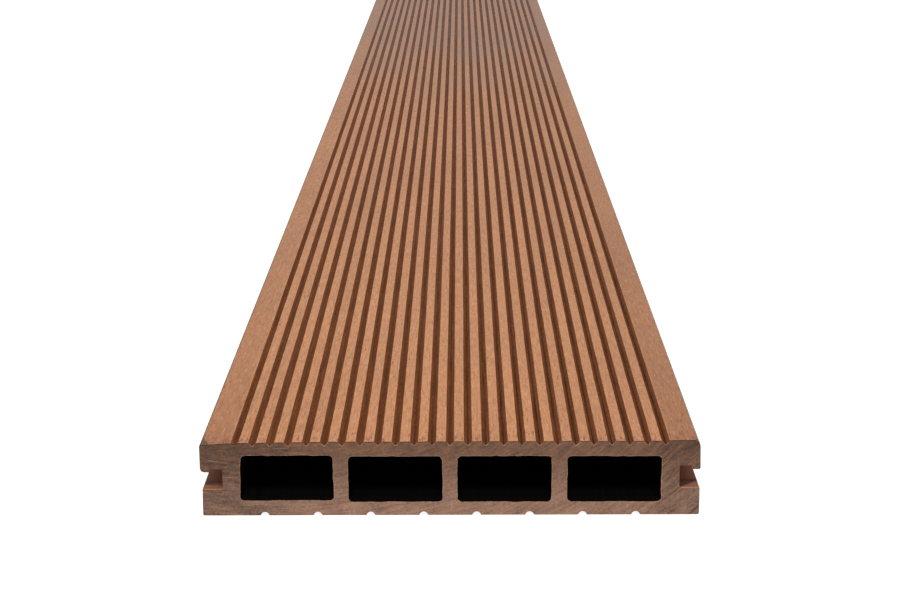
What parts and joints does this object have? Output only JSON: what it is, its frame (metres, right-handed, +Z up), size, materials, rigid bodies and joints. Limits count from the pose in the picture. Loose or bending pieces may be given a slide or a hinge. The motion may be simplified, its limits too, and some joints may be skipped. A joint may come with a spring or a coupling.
{
  "type": "decking board",
  "caption": "Hollow composite decking board with a grooved tread, rectangular chambers, side slots for hidden clips and drain channels underneath.",
  "frame": {"origin": "middle of the underside, half way along the board", "axes": "+X across the board, +Y along it away from the pictured end, +Z up through the grooved tread"},
  "size_m": [0.146, 2, 0.023],
  "materials": {
    "composite": "wood-plastic composite, brushed on the ribs of the tread and rough where it is sawn"
  },
  "bodies": {
    "root": {"decking_board": "composite"}
  },
  "joints": []
}
